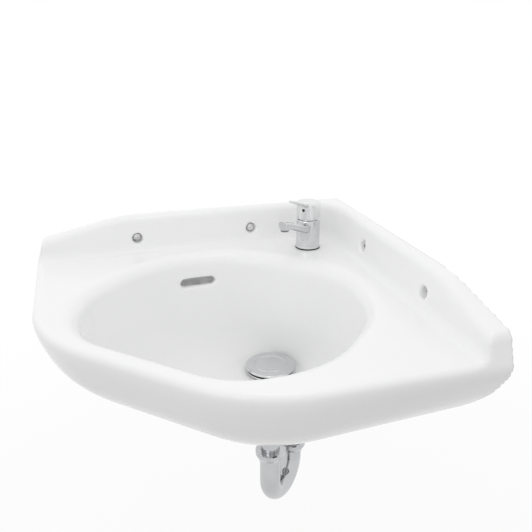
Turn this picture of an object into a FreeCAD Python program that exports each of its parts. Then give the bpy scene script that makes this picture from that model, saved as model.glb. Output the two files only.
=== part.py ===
import FreeCAD, Part
import math
import os

import Sketcher

# Corner wash basin with its tap, waste and trap. Millimetres. The origin is the corner of the
# room at the height of the basin's top edge: the back wall is the plane Y = 0, the right wall is
# the plane X = 0, the basin lies at negative X and negative Y, and Z is up. The basin is
# symmetric about the upright plane through the corner that halves the angle of the walls.

# ---------------------------------------------------------------- driving dimensions
SIZES = {
    # ceramic, seen from above
    "side_length": 447.5,        # wall corner to the widest point, along either wall
    "corner_cut": 189.0,         # cut off the square's free corner, measured along either side
    "front_round": 163.0,        # radius of the two front corners
    # upstand that stands against the walls
    "deck_level": -48.5,         # top of the deck under the top edge
    "end_length": 114.5,         # free end of the top edge, which slopes
    "end_slope": 12.2,           # fall of the top edge after that, in degrees
    "upstand_thick": 18.0,       # at the height of the screws, beside the corner
    "upstand_gain": 8.0,         # how much thicker the upstand is at its ends
    "upstand_lean": 12.0,        # lean of the inner face, in degrees
    "upstand_edge": 11.0,        # rounding of the top edge
    "upstand_foot": 14.0,        # rounding of the foot on the deck
    "upstand_end": 14.0,         # rounding of the free end, seen from above
    "corner_round": 62.0,        # where the straight upstands begin
    "rim_round": 8.0,            # rounding of the outer rim
    # walls of the casting
    "deck_thick": 14.0,
    "skirt_wall": 9.5,
    "back_wall": 12.0,
    "bowl_wall": 9.5,
    # bowl
    "bowl_margin": 48.5,         # walls to the rim of the bowl
    "far_rim": 31.5,             # widest line to the bowl's far rim
    "front_rim": 16.0,           # the same in front, as a change of x + y
    "bowl_cheek": 178.0,         # upright plane through the corner to the bowl's cheeks
    "bowl_back": 214.0,          # x + y of the rim behind the tap
    "bowl_depth": 146.0,         # deck to the floor at the waste
    "bowl_rim": 20.0,            # width of the rim's rounding
    "bowl_rim_fall": 18.0,       # its depth
    "cheek_round": 180.0,        # rounding of its outline, wall side to cheek
    "side_round": 150.0,         # cheek to far rim
    "bowl_corner": 100.0,        # far rim to front
    "bowl_blend": 120.0,         # wall side to the rim behind the tap
    # waste
    "waste_place": 154.0,        # from each wall
    "waste_clear": 2.1,          # between the hole in the ceramic and the threaded pipe
    "boss_radius": 43.0,
    "boss_depth": 34.0,
    "flange_radius": 34.0,
    "flange_thick": 2.0,
    "waste_pipe": 20.9,          # radius of the threaded pipe
    "waste_wall": 2.9,
    "waste_length": 78.0,
    "gasket_thick": 1.5,
    "plug_radius": 35.0,
    "plug_gap": 3.0,             # open plug above the flange
    "plug_thick": 3.2,
    "stem_radius": 3.0,
    "stem_length": 48.8,
    # overflow
    "slot_length": 50.0,
    "slot_height": 11.0,
    "slot_level": -86.0,
    "slot_place": 236.0,         # from the right wall
    "duct_bore": 7.5,
    "duct_wall": 5.5,
    # screws to the walls
    "screw_near": 143.5,
    "screw_far": 310.5,
    "screw_level": -30.3,
    "recess_radius": 7.5,
    "recess_floor": 10.0,        # from the wall
    "screw_clear": 4.3,
    "screw_radius": 3.0,
    "screw_reach": 28.0,         # beyond the wall's face
    "screw_head": 6.0,
    "head_thick": 4.0,
    "bush_thick": 2.5,
    # tap
    "tap_place": 73.5,           # from each wall
    "tap_clear": 0.6,            # between the hole in the deck and the shank
    "tap_radius": 17.0,
    "tap_seat": 1.2,             # base ring under the tap
    "tap_top": -6.0,
    "tap_bore": 13.0,
    "tap_bore_depth": 30.0,
    "shank_radius": 13.4,
    "shank_length": 13.0,
    "port_radius": 4.5,
    "port_depth": 9.0,
    "port_offset": 6.2,          # either side of the tap's axis
    "port_forward": 3.0,         # towards the bowl
    "spout_reach": 81.0,
    "stud_radius": 3.0,
    "stud_offset": 8.2,
    "stud_length": 44.0,
    "clamp_radius": 20.0,
    "head_gap": 1.6,             # joint between body and lever head
    "lever_reach": 49.0,
    "lever_width": 15.0,
    "lever_thick": 3.6,
    "head_height": 23.5,
    "lever_lift": 18.0,          # how far the lever tips up, in degrees
    # trap
    "tail_radius": 13.6,
    "tail_wall": 1.2,
    "trap_gain": 1.6,            # how much wider the bend is than the straight pipes
    "trap_wall": 1.2,
    "trap_pitch": 70.6,          # between the two legs
    "trap_axis": -380.0,         # centre of the bend
    "inlet_level": -328.0,       # top of the trap's inlet
    "outlet_level": -356.0,      # top of the trap's outlet
    "cup_wall": 3.4,             # of the bend's mouths, from the straight pipe outwards
    "cup_length": 12.0,
    "nut_wall": 7.9,             # of the slip nuts, in the same way
    "arm_level": -292.0,         # pipe to the wall
    "arm_round": 34.0,
    "arm_beyond": 45.0,          # beyond the wall's face
    "arm_step": 0.2,             # how much slimmer the end is that enters the wall's socket
    "arm_lead": 2.0,             # where that end begins, beyond the wall's face
    "rose_radius": 32.0,
    "rose_height": 7.0,
    # clearances
    "slide_gap": 0.3,            # between parts that are held apart
    "fit_gap": 0.1,              # between parts that are pushed together
    "pin_gap": 0.05,             # running fit of a pin or spindle
}

# Stations of the skirt under its rounded rim: depth under the widest line, then how far the
# outline lies inside that line at the walls, at the front corners and along the front.
SKIRT = [
    (0.0, 0.0, 0.0, 0.0),
    (8.0, 2.0, 1.0, 1.0),
    (24.0, 11.5, 5.0, 6.0),
    (44.0, 26.0, 13.0, 15.0),
    (64.0, 46.0, 27.0, 31.0),
    (84.0, 69.0, 51.0, 54.0),
    (93.0, 80.0, 64.0, 66.0),
]

# Stations of the bowl under its rounded rim: share of the depth left under the rim, share of the
# rim's outline about the waste, and how far the outline is then grown.
BOWL = [
    (0.0, 1.0, -20.0),
    (0.28, 0.93, -18.0),
    (0.53, 0.82, -12.0),
    (0.74, 0.62, 2.0),
    (0.87, 0.40, 16.0),
    (0.945, 0.20, 28.0),
    (0.985, 0.10, 33.0),
    (1.0, 0.05, 35.0),
]

OUTER_OVERLAP = 20.0             # how far shapes reach past the wall planes before trimming

doc = FreeCAD.newDocument("corner_basin")
sheet = doc.addObject("Spreadsheet::Sheet", "Sizes")
for row, (alias, value) in enumerate(SIZES.items(), start=1):
    sheet.set(f"A{row}", alias)
    sheet.set(f"B{row}", str(value))
    sheet.setAlias(f"B{row}", alias)
doc.recompute()

Vector = FreeCAD.Vector
ROOT_TWO = math.sqrt(2.0)
parts = {}


def size(alias):
    """A driving dimension, read back from the sheet."""
    return float(sheet.get(alias))


# ---------------------------------------------------------------- helpers
def keep(label, item):
    """Names a finished sub-part."""
    item.Label = label
    parts[label] = item
    return item


def place(item, x, y, z, rotation=None):
    """Ties an object's position to the sheet and turns it."""
    if rotation is not None:
        item.Placement = FreeCAD.Placement(Vector(0, 0, 0), rotation)
    for axis, expression in zip("xyz", (x, y, z)):
        if expression != "0":
            item.setExpression(f"Placement.Base.{axis}", expression)
    return item


def turned(label, x, y, z, profile, rotation=None, angle=360):
    """A turned piece: a closed profile of (radius, height) sizes revolved about its own axis."""
    body = doc.addObject("PartDesign::Body", label + "_body")
    sketch = body.newObject("Sketcher::SketchObject", label + "_profile")
    planes = [item for item in body.Origin.OriginFeatures if item.Role == "XZ_Plane"]
    sketch.AttachmentSupport = [(planes[0], "")]
    sketch.MapMode = "FlatFace"
    count = len(profile)
    start = [
        Vector(10 + 8 * math.cos(2 * math.pi * i / count), 10 + 8 * math.sin(2 * math.pi * i / count), 0)
        for i in range(count)
    ]
    for i in range(count):
        sketch.addGeometry(Part.LineSegment(start[i], start[(i + 1) % count]), False)
    for i in range(count):
        sketch.addConstraint(Sketcher.Constraint("Coincident", i, 2, (i + 1) % count, 1))
    for i, corner in enumerate(profile):
        for kind, axis, expression in (("DistanceX", -2, corner[0]), ("DistanceY", -1, corner[1])):
            if expression == "0":
                sketch.addConstraint(Sketcher.Constraint("PointOnObject", i, 1, axis))
            else:
                number = sketch.addConstraint(Sketcher.Constraint(kind, -1, 1, i, 1, 5.0))
                sketch.setExpression(f"Constraints[{number}]", expression)
    revolution = body.newObject("PartDesign::Revolution", label + "_turning")
    revolution.Profile = sketch
    revolution.ReferenceAxis = (sketch, ["V_Axis"])
    revolution.Angle = angle
    place(body, x, y, z, rotation)
    return body


def tube_profile(outer, inner, height):
    """The four corners of a plain ring."""
    return [(inner, "0"), (outer, "0"), (outer, height), (inner, height)]


def rod(label, radius, height, x, y, z, rotation=None):
    """A plain cylinder tied to the sheet."""
    item = doc.addObject("Part::Cylinder", label)
    item.setExpression("Radius", radius)
    item.setExpression("Height", height)
    return place(item, x, y, z, rotation)


def block(label, length, width, height, x, y, z, rotation=None):
    """A plain box tied to the sheet."""
    item = doc.addObject("Part::Box", label)
    item.setExpression("Length", length)
    item.setExpression("Width", width)
    item.setExpression("Height", height)
    return place(item, x, y, z, rotation)


def cut(label, base, tool):
    """One shape less another."""
    item = doc.addObject("Part::Cut", label)
    item.Base = base
    item.Tool = tool
    return item


def fuse(label, items):
    """Several shapes made one."""
    item = doc.addObject("Part::MultiFuse", label)
    item.Shapes = items
    return item


def group(label, items):
    """Several separate solids that share a name."""
    item = doc.addObject("Part::Compound", label)
    item.Links = items
    return item


def fixed(label, shape):
    """A shape that is worked out here from the sheet's sizes."""
    item = doc.addObject("Part::Feature", label)
    item.Shape = shape
    return item


def rounded_wire(corners):
    """A closed wire through (point, radius) corners, each rounded with an arc."""
    count = len(corners)
    pieces = []
    ends = []
    for i, (point, radius) in enumerate(corners):
        before = (corners[i - 1][0] - point).normalize()
        after = (corners[(i + 1) % count][0] - point).normalize()
        if radius <= 0:
            ends.append((point, None, point))
            continue
        half = before.getAngle(after) / 2.0
        middle = (before + after).normalize()
        reach = radius / math.tan(half)
        centre = point + middle * (radius / math.sin(half))
        ends.append((point + before * reach, centre - middle * radius, point + after * reach))
    for i, (arc_start, arc_middle, arc_end) in enumerate(ends):
        if arc_middle is not None:
            pieces.append(Part.Arc(arc_start, arc_middle, arc_end).toShape())
        following = ends[(i + 1) % count][0]
        if arc_end.distanceToPoint(following) > 1e-6:
            pieces.append(Part.LineSegment(arc_end, following).toShape())
    return Part.Wire(pieces)


def filled(rows, steps):
    """Rows of numbers, filled in smoothly and without overshoot along their first column."""
    slopes = []
    for column in range(1, len(rows[0])):
        rises = [(b[column] - a[column]) / (b[0] - a[0]) for a, b in zip(rows, rows[1:])]
        inner = [0.0 if p * q <= 0 else 2 * p * q / (p + q) for p, q in zip(rises, rises[1:])]
        slopes.append([rises[0]] + inner + [rises[-1]])
    result = [rows[0]]
    for i, (low, high) in enumerate(zip(rows, rows[1:])):
        span = high[0] - low[0]
        for step in range(1, steps + 1):
            t = step / steps
            row = [low[0] + span * t]
            for column in range(1, len(low)):
                slope = slopes[column - 1]
                row.append(
                    low[column] * (2 * t ** 3 - 3 * t ** 2 + 1)
                    + high[column] * (3 * t ** 2 - 2 * t ** 3)
                    + span * slope[i] * (t ** 3 - 2 * t ** 2 + t)
                    + span * slope[i + 1] * (t ** 3 - t ** 2)
                )
            result.append(tuple(row))
    return result


def crossing(point_a, along_a, point_b, along_b):
    """Where two lines in plan meet."""
    turn = along_a.x * along_b.y - along_a.y * along_b.x
    gap = point_b - point_a
    return point_a + along_a * ((gap.x * along_b.y - gap.y * along_b.x) / turn)


def at(u, v, z):
    """A point u from the right wall, v from the back wall, at height z."""
    return Vector(-u, -v, z)


def bar(start, end, radius):
    """A round bar between two points, with a ball at its end."""
    run = end - start
    return Part.makeCylinder(radius, run.Length, start, run).fuse(Part.makeSphere(radius, end))


# ---------------------------------------------------------------- ceramic: skirt and hollow
DECK = size("deck_level")
SIDE = size("side_length")
FRONT_SUM = 2 * SIDE - size("corner_cut")   # x + y of the front edge, which runs across the corner


def skirt_wire(station, extra, wall_line, z):
    """The skirt's outline at a station, grown inwards by extra, closed along the walls."""
    _, at_wall, at_corner, at_front = station
    front_sum = FRONT_SUM - ROOT_TWO * (at_front + extra)
    corner_u = FRONT_SUM - SIDE
    wall_point = Vector(0, SIDE - at_wall - extra, 0)
    corner_point = Vector(corner_u, SIDE - at_corner - extra, 0)
    along_side = corner_point - wall_point
    start = crossing(wall_point, along_side, Vector(wall_line, 0, 0), Vector(0, 1, 0))
    turn = crossing(wall_point, along_side, Vector(front_sum, 0, 0), Vector(-1, 1, 0))
    radius = size("front_round") - at_corner - extra
    corners = [
        (at(wall_line, wall_line, z), 0),
        (at(start.x, start.y, z), 0),
        (at(turn.x, turn.y, z), radius),
        (at(turn.y, turn.x, z), radius),
        (at(start.y, start.x, z), 0),
    ]
    return rounded_wire(corners)


rim = size("rim_round")
WIDEST = DECK - rim              # level of the widest line
rim_wires = []
for degrees in (0, 15, 30, 45, 60, 75):
    angle = math.radians(degrees)
    inset = rim * (1 - math.sin(angle))
    level = DECK - rim * (1 - math.cos(angle))
    rim_wires.append(skirt_wire((0.0, inset, inset, inset), 0.0, -OUTER_OVERLAP, level))
stations = filled(SKIRT, 3)
outer_wires = [skirt_wire(station, 0.0, -OUTER_OVERLAP, WIDEST - station[0]) for station in stations]
skirt = Part.makeLoft(rim_wires + outer_wires, True, True)

hollow_top = size("deck_thick") - rim
hollow_stations = [station for station in stations if station[0] > hollow_top + 1.0]
hollow_depths = [hollow_top] + [station[0] for station in hollow_stations[1:]]
hollow_wires = [
    skirt_wire(station, size("skirt_wall"), size("back_wall"), WIDEST - depth)
    for station, depth in zip(hollow_stations, hollow_depths)
]
below = hollow_wires[-1].copy()
below.translate(Vector(0, 0, -4.0))
hollow = Part.makeLoft(hollow_wires + [below], True, True)


# ---------------------------------------------------------------- ceramic: bowl
WASTE = size("waste_place")
FLOOR = DECK - size("bowl_depth")


def bowl_wire(share, growth, z):
    """The rim's outline shrunk about the waste by share and grown by growth."""
    side = WASTE - size("bowl_margin")
    far = SIDE - size("far_rim") - WASTE
    cheek = size("bowl_cheek")
    front = (FRONT_SUM - size("front_rim") - 2 * WASTE) / ROOT_TWO
    back = (2 * WASTE - size("bowl_back")) / ROOT_TWO
    diagonal = 1 / ROOT_TWO
    edges = [
        (Vector(0, -1, 0), side),
        (Vector(diagonal, -diagonal, 0), cheek),
        (Vector(1, 0, 0), far),
        (Vector(diagonal, diagonal, 0), front),
        (Vector(0, 1, 0), far),
        (Vector(-diagonal, diagonal, 0), cheek),
        (Vector(-1, 0, 0), side),
        (Vector(-diagonal, -diagonal, 0), back),
    ]
    half = [size("cheek_round"), size("side_round"), size("bowl_corner")]
    radii = half + half[::-1] + [size("bowl_blend")] * 2
    corners = []
    for i, (normal, distance) in enumerate(edges):
        next_normal, next_distance = edges[(i + 1) % len(edges)]
        here = normal * (distance * share + growth)
        there = next_normal * (next_distance * share + growth)
        along_here = Vector(-normal.y, normal.x, 0)
        along_there = Vector(-next_normal.y, next_normal.x, 0)
        meet = crossing(here, along_here, there, along_there)
        corners.append((at(WASTE + meet.x, WASTE + meet.y, z), radii[i] * share + growth))
    return rounded_wire(corners)


rim_fall = size("bowl_rim_fall")
rim_wires = [bowl_wire(1.0, 3.0, DECK + 3.0)]
for degrees in (0, 12, 24, 36, 48, 60, 72):
    angle = math.radians(degrees)
    level = DECK - rim_fall * (1 - math.cos(angle))
    rim_wires.append(bowl_wire(1.0, -size("bowl_rim") * math.sin(angle), level))
bowl_left = size("bowl_depth") - rim_fall
bowl_rows = filled(BOWL, 3)
bowl_wires = [
    bowl_wire(share, growth, DECK - rim_fall - part * bowl_left) for part, share, growth in bowl_rows
]
bowl_space = Part.makeLoft(rim_wires + bowl_wires, True, True)
wall = size("bowl_wall")
hull_wires = [bowl_wire(1.0, wall - size("bowl_rim") * 0.9, DECK - size("deck_thick") + 3.0)]
hull_wires += [
    bowl_wire(share, growth + wall, DECK - rim_fall - part * (bowl_left + wall))
    for part, share, growth in bowl_rows
]
bowl_hull = Part.makeLoft(hull_wires, True, True)


# ---------------------------------------------------------------- ceramic: upstands
SLOPE = math.tan(math.radians(size("end_slope")))
LEAN = math.tan(math.radians(size("upstand_lean")))
BEND = 18.0                      # half the length over which the top edge bends


def upstand_wire(u, top, thinner=0.0):
    """Cross-section of the back upstand at u from the right wall, with its top at height top."""
    thick = size("upstand_thick") + size("upstand_gain") * u / SIDE - thinner
    top_v = thick + (size("screw_level") - top) * LEAN
    foot_v = thick + (size("screw_level") - DECK) * LEAN
    foot_end = foot_v + size("upstand_foot") + 0.5
    corners = [
        (at(u, -OUTER_OVERLAP, WIDEST), 0),
        (at(u, -OUTER_OVERLAP, top), 0),
        (at(u, top_v, top), size("upstand_edge")),
        (at(u, foot_v, DECK), size("upstand_foot")),
        (at(u, foot_end, DECK), 0),
        (at(u, foot_end + 9.0, WIDEST), 0),
    ]
    return rounded_wire(corners)


corner_round = size("corner_round")
flat_top = SIDE - size("end_length")
top_line = [(corner_round, 0.0, 0.0)]
for step in range(-3, 4):
    u = flat_top + BEND * step / 3
    top_line.append((u, -SLOPE * BEND * ((step + 3) / 6) ** 2, 0.0))
end_round = size("upstand_end")
for degrees in (0, 20, 40, 55, 70, 80):
    angle = math.radians(degrees)
    u = SIDE - end_round * (1 - math.sin(angle))
    top_line.append((u, -(u - flat_top) * SLOPE, end_round * (1 - math.cos(angle))))
straight = Part.makeLoft([upstand_wire(u, top, thinner) for u, top, thinner in top_line], True, True)

# The end of the upstand falls from its sloping top to the skirt's widest line.
# Points are given as distance from the widest line and height over the top's last part.
END_SHAPE = [
    (15.5, 20.0), (15.5, 1.9), (13.4, 0.9), (11.2, -1.0), (9.4, -3.4), (8.0, -6.3), (7.0, -10.0),
    (3.5, -21.3), (0.7, -29.5),
]
end_points = [(-OUTER_OVERLAP, DECK - 20.0), (-OUTER_OVERLAP, 20.0)]
end_top = -(SIDE - 9.5 - flat_top) * SLOPE
end_points += [(SIDE - back, end_top + rise) for back, rise in END_SHAPE]
end_points += [(SIDE, WIDEST), (SIDE, DECK - 20.0)]
end_wire = Part.makePolygon([Vector(-u, OUTER_OVERLAP * 2, z) for u, z in end_points + end_points[:1]])
end_limit = Part.Face(end_wire).extrude(Vector(0, -4 * OUTER_OVERLAP - SIDE, 0))
straight = straight.common(end_limit)

corner_face = Part.Face(upstand_wire(corner_round, 0.0))
corner_turn = corner_face.revolve(at(corner_round, corner_round, 0), Vector(0, 0, 1), -90)
fill_side = corner_round + OUTER_OVERLAP
fill = Part.makeBox(fill_side, fill_side, -WIDEST, at(corner_round, corner_round, WIDEST))
fill_round = Part.makeCylinder(
    corner_round - 1.0, 100.0, at(corner_round, corner_round, WIDEST - 20.0), Vector(0, 0, 1)
)
corner_fill = fill.cut(fill_round)
mirrored = straight.mirror(Vector(0, 0, 0), Vector(1, -1, 0))
upstands = straight.fuse([mirrored, corner_turn, corner_fill])


# ---------------------------------------------------------------- ceramic: overflow and waste boss
SLOT_U = size("slot_place")
SLOT_Z = size("slot_level")
DUCT_TURN = FLOOR - 17.0         # level at which the duct enters the waste boss
duct_path = [
    at(SLOT_U, 55.0, SLOT_Z),
    at(SLOT_U - 5, 57.0, SLOT_Z - 36),
    at(SLOT_U - 15, 64.0, SLOT_Z - 76),
    at(WASTE + 52, WASTE - 68, DUCT_TURN + 22),
    at(WASTE + 26, WASTE - 29, DUCT_TURN),
    at(WASTE + 13, WASTE - 14, DUCT_TURN),
]


def duct(radius, path):
    """A round duct along a path of straight runs."""
    runs = [bar(start, end, radius) for start, end in zip(path, path[1:])]
    return runs[0].fuse(runs[1:])


def chamber(length, width, height, centre_v):
    """A block behind the overflow slot."""
    low = at(SLOT_U + length / 2, centre_v + width / 2, SLOT_Z - height / 2)
    return Part.makeBox(length, width, height, low)


duct_outer = duct(size("duct_bore") + size("duct_wall"), duct_path[:-1])
chamber_outer = chamber(size("slot_length") + 18.0, 27.0, size("slot_height") + 26.0, 57.5)
duct_inner = duct(size("duct_bore"), duct_path)
chamber_inner = chamber(size("slot_length") + 4.0, 12.0, size("slot_height") + 10.0, 55.0)
slot_round = size("slot_height") / 2
slot_half = size("slot_length") / 2 - slot_round
slot_near = at(SLOT_U - slot_half, 50.0, SLOT_Z)
slot_far = at(SLOT_U + slot_half, 50.0, SLOT_Z)
slot_deep = 42.0
slot = Part.makeCylinder(slot_round, slot_deep, slot_near, Vector(0, -1, 0)).fuse([
    Part.makeCylinder(slot_round, slot_deep, slot_far, Vector(0, -1, 0)),
    Part.makeBox(2 * slot_half, slot_deep, 2 * slot_round,
                 at(SLOT_U + slot_half, 50.0 + slot_deep, SLOT_Z - slot_round)),
])
boss = Part.makeCylinder(
    size("boss_radius"), size("boss_depth") - 2.0, at(WASTE, WASTE, FLOOR - size("boss_depth")), Vector(0, 0, 1)
)

ROOM = 700.0
room_side = Part.makeBox(ROOM, ROOM, ROOM, at(ROOM, ROOM, -ROOM / 2))
hollow_left = hollow.cut([bowl_hull, duct_outer, chamber_outer, boss])
shell = skirt.fuse([upstands, bowl_hull, duct_outer, chamber_outer, boss])
shell = shell.cut(hollow_left).common(room_side)
shell = shell.cut([bowl_space, duct_inner, chamber_inner, slot])
casting = fixed("casting_blank", shell.removeSplitter())

# Bores of the casting, tied to the sheet.
ALONG_Y = FreeCAD.Rotation(Vector(1, 0, 0), -90)
ALONG_X = FreeCAD.Rotation(Vector(0, 1, 0), 90)
AGAINST_Y = FreeCAD.Rotation(Vector(1, 0, 0), 90)
AGAINST_X = FreeCAD.Rotation(Vector(0, 1, 0), -90)
bores = [
    rod("waste_bore_tool", "Sizes.waste_pipe + Sizes.waste_clear", "Sizes.boss_depth + 40",
        "-Sizes.waste_place", "-Sizes.waste_place", "Sizes.deck_level - Sizes.bowl_depth - Sizes.boss_depth - 20"),
    rod("tap_bore_tool", "Sizes.shank_radius + Sizes.tap_clear", "Sizes.deck_thick + 20", "-Sizes.tap_place",
        "-Sizes.tap_place", "Sizes.deck_level - Sizes.deck_thick - 10"),
]
SCREWS = ["near", "far"]
for spot in SCREWS:
    along = f"-Sizes.screw_{spot}"
    bores += [
        rod(f"back_{spot}_hole", "Sizes.screw_clear", "Sizes.recess_floor + 10", along,
            "-Sizes.recess_floor - 5", "Sizes.screw_level", ALONG_Y),
        rod(f"back_{spot}_recess", "Sizes.recess_radius", "40", along,
            "-Sizes.recess_floor", "Sizes.screw_level", AGAINST_Y),
        rod(f"right_{spot}_hole", "Sizes.screw_clear", "Sizes.recess_floor + 10",
            "-Sizes.recess_floor - 5", along, "Sizes.screw_level", ALONG_X),
        rod(f"right_{spot}_recess", "Sizes.recess_radius", "40", "-Sizes.recess_floor",
            along, "Sizes.screw_level", AGAINST_X),
    ]
keep("ceramic_basin", cut("ceramic_basin_cut", casting, fuse("casting_bores", bores)))


# ---------------------------------------------------------------- screws to the walls
def wall_fastener(label, make):
    """The same fastener at the four places."""
    items = []
    for spot in SCREWS:
        along = f"-Sizes.screw_{spot}"
        items.append(make(f"{label}_back_{spot}", along, "wall", AGAINST_Y))
        items.append(make(f"{label}_right_{spot}", "wall", along, AGAINST_X))
    return keep(label, group(label + "_group", items))


def wall_screw(label, x, y, rotation):
    """Pan-head screw with a cross recess; its axis points out of the wall."""
    seat = "Sizes.recess_floor + Sizes.bush_thick"
    start = "Sizes.screw_reach"
    shank_top = f"Sizes.screw_reach + {seat}"
    profile = [
        ("0", "0"),
        ("Sizes.screw_radius", "6"),
        ("Sizes.screw_radius", start),
        ("Sizes.screw_radius - 0.1", start),
        ("Sizes.screw_radius - 0.1", shank_top),
        ("Sizes.screw_head", shank_top),
        ("Sizes.screw_head", shank_top + " + 1.6"),
        ("Sizes.screw_head - 1.6", shank_top + " + 3.3"),
        ("Sizes.screw_head - 4", shank_top + " + Sizes.head_thick"),
        ("0", shank_top + " + Sizes.head_thick"),
    ]
    spot_x = start if x == "wall" else x
    spot_y = start if y == "wall" else y
    blank = turned(label, spot_x, spot_y, "Sizes.screw_level", profile, rotation)
    depth = "-(Sizes.recess_floor + Sizes.bush_thick + Sizes.head_thick - 2)"
    arms = []
    for number, (wide, tall) in enumerate((("1.4", "6"), ("6", "1.4"))):
        if y == "wall":
            arm = block(f"{label}_arm_{number}", wide, "4", tall, f"{x} - {wide} / 2",
                        f"{depth} - 4", f"Sizes.screw_level - {tall} / 2")
        else:
            arm = block(f"{label}_arm_{number}", "4", wide, tall, f"{depth} - 4",
                        f"{y} - {wide} / 2", f"Sizes.screw_level - {tall} / 2")
        arms.append(arm)
    return cut(label + "_crossed", blank, fuse(label + "_cross", arms))


def wall_bush(label, x, y, rotation):
    """Plastic bush between screw head and ceramic, with a sleeve in the hole."""
    spot_x = "-0.5" if x == "wall" else x
    spot_y = "-0.5" if y == "wall" else y
    floor = "Sizes.recess_floor - 0.5"
    profile = [
        ("Sizes.screw_radius + Sizes.fit_gap", "0"),
        ("Sizes.screw_clear - Sizes.fit_gap", "0"),
        ("Sizes.screw_clear - Sizes.fit_gap", floor),
        ("Sizes.recess_radius - Sizes.slide_gap", floor),
        ("Sizes.recess_radius - Sizes.slide_gap", floor + " + Sizes.bush_thick"),
        ("Sizes.screw_radius + Sizes.fit_gap", floor + " + Sizes.bush_thick"),
    ]
    return turned(label, spot_x, spot_y, "Sizes.screw_level", profile, rotation)


wall_fastener("wall_screws", wall_screw)
wall_fastener("wall_bushes", wall_bush)


# ---------------------------------------------------------------- waste and plug
WX = "-Sizes.waste_place"
FLOOR_AT = "(Sizes.deck_level - Sizes.bowl_depth)"
SEAT_AT = f"({FLOOR_AT} + Sizes.gasket_thick)"
FLANGE_TOP = f"({SEAT_AT} + Sizes.flange_thick)"
BOSS_AT = f"({FLOOR_AT} - Sizes.boss_depth)"
BORE = "(Sizes.waste_pipe - Sizes.waste_wall)"

keep("waste_gasket_top", turned("waste_gasket_top", WX, WX, FLOOR_AT, tube_profile(
    "Sizes.flange_radius - 1.5", "Sizes.waste_pipe + Sizes.fit_gap", "Sizes.gasket_thick")))

pipe_length = "Sizes.waste_length"
flange_profile = [
    (BORE, "0"),
    ("Sizes.waste_pipe", "0"),
    ("Sizes.waste_pipe", pipe_length),
    ("Sizes.flange_radius", pipe_length),
    ("Sizes.flange_radius", pipe_length + " + Sizes.flange_thick - 0.8"),
    ("Sizes.flange_radius - 0.8", pipe_length + " + Sizes.flange_thick"),
    (BORE + " + 4", pipe_length + " + Sizes.flange_thick"),
    (BORE, pipe_length + " - 3"),
]
waste_blank = turned("waste_pipe_blank", WX, WX, f"{SEAT_AT} - Sizes.waste_length", flange_profile)
OVERFLOW_PORT = f"{FLOOR_AT} - 22"
port_across = block("port_across", "60", "9", "10", f"{WX} - 30", f"{WX} - 4.5", OVERFLOW_PORT)
port_along = block("port_along", "9", "60", "10", f"{WX} - 4.5", f"{WX} - 30", OVERFLOW_PORT)
waste_open = cut("waste_open", waste_blank, fuse("waste_ports", [port_across, port_along]))
HUB_AT = f"({FLOOR_AT} - 38)"
hub = turned("waste_hub", WX, WX, HUB_AT, tube_profile("7", "Sizes.stem_radius + Sizes.pin_gap", "8"))
spoke_x = block("spoke_x", f"2 * {BORE} + 1", "2.4", "8",
                f"{WX} - {BORE} - 0.5", f"{WX} - 1.2", HUB_AT)
spoke_y = block("spoke_y", "2.4", f"2 * {BORE} + 1", "8",
                f"{WX} - 1.2", f"{WX} - {BORE} - 0.5", HUB_AT)
spokes = cut("waste_spokes", fuse("waste_spoke_pair", [spoke_x, spoke_y]),
             rod("spoke_clear", "5", "20", WX, WX, f"{HUB_AT} - 5"))
keep("waste_flange", fuse("waste_flange_body", [waste_open, hub, spokes]))

GASKET_LOW = "4"
keep("waste_gasket_low", turned("waste_gasket_low", WX, WX, f"{BOSS_AT} - {GASKET_LOW}", tube_profile(
    "Sizes.boss_radius - 8", "Sizes.waste_pipe + Sizes.fit_gap", GASKET_LOW)))
keep("waste_washer", turned("waste_washer", WX, WX, f"{BOSS_AT} - {GASKET_LOW} - 2", tube_profile(
    "Sizes.boss_radius - 9", "Sizes.waste_pipe + Sizes.fit_gap", "2")))
NUT_TALL = "9"
NUT_AT = f"{BOSS_AT} - {GASKET_LOW} - 2 - {NUT_TALL}"


def six_sided(label, across, hole, height, x, y, z):
    """A hexagon nut."""
    prism = doc.addObject("Part::Prism", label + "_blank")
    prism.Polygon = 6
    prism.setExpression("Circumradius", f"{across} / cos(30)")
    prism.setExpression("Height", height)
    place(prism, x, y, z)
    return cut(label + "_cut", prism, rod(label + "_hole", hole, f"{height} + 4", x, y, f"{z} - 2"))


keep("waste_nut", six_sided("waste_nut", "29", "Sizes.waste_pipe + Sizes.fit_gap", NUT_TALL, WX, WX, NUT_AT))

# Plug: a domed cap on a stem that slides in the waste's hub against a spring.
CAP_AT = f"({FLANGE_TOP} + Sizes.plug_gap)"
cap_profile = [
    ("0", "0"),
    ("Sizes.plug_radius - 9", "0"),
    ("Sizes.plug_radius - 9", "1.1"),
    ("Sizes.plug_radius - 4", "1.1"),
    ("Sizes.plug_radius - 4", "0"),
    ("Sizes.plug_radius - 0.8", "0"),
    ("Sizes.plug_radius", "0.8"),
    ("Sizes.plug_radius - 0.3", "1.9"),
    ("Sizes.plug_radius - 2", "2.6"),
    ("22.4", "Sizes.plug_thick"),
    ("21.8", "Sizes.plug_thick - 0.5"),
    ("21.2", "Sizes.plug_thick"),
    ("12", "Sizes.plug_thick + 0.5"),
    ("0", "Sizes.plug_thick + 0.7"),
]
keep("plug_cap", turned("plug_cap", WX, WX, CAP_AT, cap_profile))
keep("plug_seal", turned("plug_seal", WX, WX, f"{CAP_AT} - 0.5", tube_profile(
    "Sizes.plug_radius - 4 - Sizes.fit_gap", "Sizes.plug_radius - 9 + Sizes.fit_gap", "1.6")))
STEM_AT = f"{CAP_AT} - Sizes.stem_length"
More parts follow.
